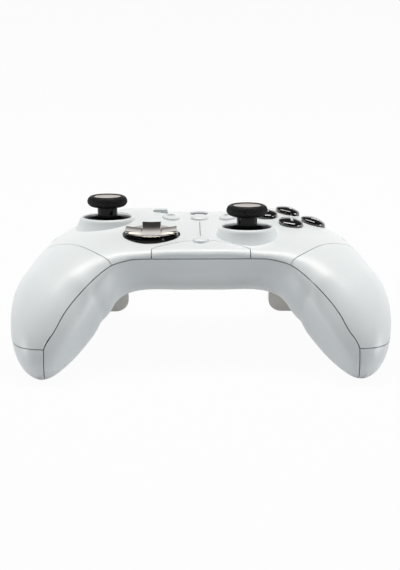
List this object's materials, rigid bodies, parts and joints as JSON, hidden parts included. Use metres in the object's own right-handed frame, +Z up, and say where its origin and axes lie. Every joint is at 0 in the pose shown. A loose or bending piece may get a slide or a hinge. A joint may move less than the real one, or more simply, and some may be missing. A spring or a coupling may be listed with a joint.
{
  "type": "gamepad controller",
  "caption": "Handheld game controller with offset analogue sticks, a round direction pad, face buttons, bumpers, triggers and two long grips.",
  "frame": {"origin": "centre of the whole controller's box in X and Y, on the table under its grip tips and trigger tips", "axes": "+X to the player's right, +Y away from the player, +Z up; the face leans back as it lies on a table"},
  "size_m": [0.1552, 0.0988, 0.0619],
  "materials": {
    "shell_white": "satin moulded plastic, cool white",
    "button_white": "slightly glossy white plastic",
    "bumper_white": "gloss white plastic",
    "trigger_white": "warm white plastic",
    "black_gloss": "glossy black plastic",
    "black_rubber": "matte black rubber with a knurled edge",
    "disc_metal": "satin anodised disc, warm grey",
    "dish_chrome": "dark chrome plating with crisp facets",
    "home_chrome": "polished disc",
    "mode_grey": "pale grey-blue plastic",
    "pad_rubber": "grey silicone",
    "board_green": "board with green solder mask",
    "chip_black": "moulded package",
    "steel": "plated steel",
    "inner_plastic": "dark moulded plastic",
    "battery_wrap": "wrapped lithium cell"
  },
  "bodies": {
    "housing": {"battery_door": "shell_white", "battery_pack": "battery_wrap", "board_chips": "chip_black", "board_switches": "steel", "button_board": "board_green", "button_pads": "pad_rubber", "case_screws": "steel", "charging_socket": "steel", "chin_panel": "shell_white", "dpad_base_ring": "black_gloss", "dpad_pivot": "inner_plastic", "front_shell": "shell_white", "left_bumper_switch": "inner_plastic", "left_grip_cover": "shell_white", "left_motor": "steel", "left_side_rail": "shell_white", "left_stick_module": "inner_plastic", "left_trigger_bracket": "inner_plastic", "left_trigger_pin": "steel", "left_trigger_spring": "steel", "main_board": "board_green", "rear_shell": "shell_white", "right_bumper_switch": "inner_plastic", "right_grip_cover": "shell_white", "right_motor": "steel", "right_side_rail": "shell_white", "right_stick_module": "inner_plastic", "right_trigger_bracket": "inner_plastic", "right_trigger_pin": "steel", "right_trigger_spring": "steel", "top_bridge": "shell_white"},
    "left_cradle": {"left_stick_cradle": "inner_plastic"},
    "left_rocker": {"left_stick_rocker": "inner_plastic"},
    "left_stick": {"left_stick_cap": "black_rubber", "left_stick_disc": "disc_metal", "left_stick_shaft": "black_gloss"},
    "right_cradle": {"right_stick_cradle": "inner_plastic"},
    "right_rocker": {"right_stick_rocker": "inner_plastic"},
    "right_stick": {"right_stick_cap": "black_rubber", "right_stick_disc": "disc_metal", "right_stick_shaft": "black_gloss"},
    "dpad_ring": {"dpad_carrier": "inner_plastic"},
    "dpad": {"dpad_dish": "dish_chrome"},
    "button_1": {"face_button_1": "black_gloss"},
    "button_2": {"face_button_2": "black_gloss"},
    "button_3": {"face_button_3": "black_gloss"},
    "button_4": {"face_button_4": "black_gloss"},
    "view": {"view_button": "button_white"},
    "menu": {"menu_button": "button_white"},
    "share": {"share_button": "button_white"},
    "profile": {"profile_button": "button_white"},
    "home": {"home_button": "home_chrome"},
    "mode": {"mode_button": "mode_grey"},
    "right_trigger_body": {"right_trigger": "trigger_white"},
    "right_bumper_body": {"right_bumper": "bumper_white"},
    "right_weight": {"right_motor_weight": "steel"},
    "left_trigger_body": {"left_trigger": "trigger_white"},
    "left_bumper_body": {"left_bumper": "bumper_white"},
    "left_weight": {"left_motor_weight": "steel"}
  },
  "joints": [
    {"name": "left_stick_up_down", "type": "hinge", "parent": "housing", "child": "left_cradle", "pos_m": [-0.0398, 0.01945, 0.04046], "axis": [1, 0, 0], "range_deg": [-17, 17], "stiffness_Nm_per_rad": 0.03},
    {"name": "left_stick_left_right", "type": "hinge", "parent": "left_cradle", "child": "left_rocker", "pos_m": [-0.0398, 0.01945, 0.04046], "axis": [0, 0.9969, -0.079], "range_deg": [-17, 17], "stiffness_Nm_per_rad": 0.03},
    {"name": "left_stick_click", "type": "slide", "parent": "left_rocker", "child": "left_stick", "axis": [0, 0.079, 0.9969], "range_m": [-0.0005, 0], "stiffness_N_per_m": 4000},
    {"name": "right_stick_up_down", "type": "hinge", "parent": "housing", "child": "right_cradle", "pos_m": [0.0196, -0.00165, 0.04133], "axis": [1, 0, 0], "range_deg": [-17, 17], "stiffness_Nm_per_rad": 0.03},
    {"name": "right_stick_left_right", "type": "hinge", "parent": "right_cradle", "child": "right_rocker", "pos_m": [0.0196, -0.00165, 0.04133], "axis": [0, 0.9969, -0.079], "range_deg": [-17, 17], "stiffness_Nm_per_rad": 0.03},
    {"name": "right_stick_click", "type": "slide", "parent": "right_rocker", "child": "right_stick", "axis": [0, 0.079, 0.9969], "range_m": [-0.0005, 0], "stiffness_N_per_m": 4000},
    {"name": "dpad_up_down", "type": "hinge", "parent": "housing", "child": "dpad_ring", "pos_m": [-0.0205, -0.00137, 0.04482], "axis": [1, 0, 0], "range_deg": [-3, 3], "stiffness_Nm_per_rad": 0.15},
    {"name": "dpad_left_right", "type": "hinge", "parent": "dpad_ring", "child": "dpad", "pos_m": [-0.0205, -0.00137, 0.04482], "axis": [0, 0.9969, -0.079], "range_deg": [-3, 3], "stiffness_Nm_per_rad": 0.15},
    {"name": "face_button_1_press", "type": "slide", "parent": "housing", "child": "button_1", "axis": [0, 0.079, 0.9969], "range_m": [-0.001, 0], "stiffness_N_per_m": 600},
    {"name": "face_button_2_press", "type": "slide", "parent": "housing", "child": "button_2", "axis": [0, 0.079, 0.9969], "range_m": [-0.001, 0], "stiffness_N_per_m": 600},
    {"name": "face_button_3_press", "type": "slide", "parent": "housing", "child": "button_3", "axis": [0, 0.079, 0.9969], "range_m": [-0.001, 0], "stiffness_N_per_m": 600},
    {"name": "face_button_4_press", "type": "slide", "parent": "housing", "child": "button_4", "axis": [0, 0.079, 0.9969], "range_m": [-0.001, 0], "stiffness_N_per_m": 600},
    {"name": "view_button_press", "type": "slide", "parent": "housing", "child": "view", "axis": [0, 0.079, 0.9969], "range_m": [-0.0006, 0], "stiffness_N_per_m": 1200},
    {"name": "menu_button_press", "type": "slide", "parent": "housing", "child": "menu", "axis": [0, 0.079, 0.9969], "range_m": [-0.0006, 0], "stiffness_N_per_m": 1200},
    {"name": "share_button_press", "type": "slide", "parent": "housing", "child": "share", "axis": [0, 0.079, 0.9969], "range_m": [-0.0006, 0], "stiffness_N_per_m": 1200},
    {"name": "profile_button_press", "type": "slide", "parent": "housing", "child": "profile", "axis": [0, 0.079, 0.9969], "range_m": [-0.0006, 0], "stiffness_N_per_m": 1200},
    {"name": "home_button_press", "type": "slide", "parent": "housing", "child": "home", "axis": [0, 0.079, 0.9969], "range_m": [-0.0006, 0], "stiffness_N_per_m": 1200},
    {"name": "mode_button_press", "type": "slide", "parent": "housing", "child": "mode", "axis": [0, 0.079, 0.9969], "range_m": [-0.0006, 0], "stiffness_N_per_m": 1200},
    {"name": "right_trigger_pull", "type": "hinge", "parent": "housing", "child": "right_trigger_body", "pos_m": [0.0411, 0.03055, 0.03506], "axis": [1, 0, 0], "range_deg": [-14, 0], "stiffness_Nm_per_rad": 0.06, "springref_deg": 17.19},
    {"name": "right_bumper_press", "type": "hinge", "parent": "housing", "child": "right_bumper_body", "pos_m": [0.0185, 0.0358, 0.04308], "axis": [0, 0.079, 0.9969], "range_deg": [-1.5, 0], "stiffness_Nm_per_rad": 1.5},
    {"name": "right_motor_spin", "type": "hinge", "parent": "housing", "child": "right_weight", "pos_m": [0.056, -0.02343, 0.0248], "axis": [0, 0.9969, -0.079], "continuous": true},
    {"name": "left_trigger_pull", "type": "hinge", "parent": "housing", "child": "left_trigger_body", "pos_m": [-0.0411, 0.03055, 0.03506], "axis": [1, 0, 0], "range_deg": [-14, 0], "stiffness_Nm_per_rad": 0.06, "springref_deg": 17.19},
    {"name": "left_bumper_press", "type": "hinge", "parent": "housing", "child": "left_bumper_body", "pos_m": [-0.0185, 0.0358, 0.04308], "axis": [0, 0.079, 0.9969], "range_deg": [0, 1.5], "stiffness_Nm_per_rad": 1.5},
    {"name": "left_motor_spin", "type": "hinge", "parent": "housing", "child": "left_weight", "pos_m": [-0.056, -0.02343, 0.0248], "axis": [0, 0.9969, -0.079], "continuous": true}
  ]
}
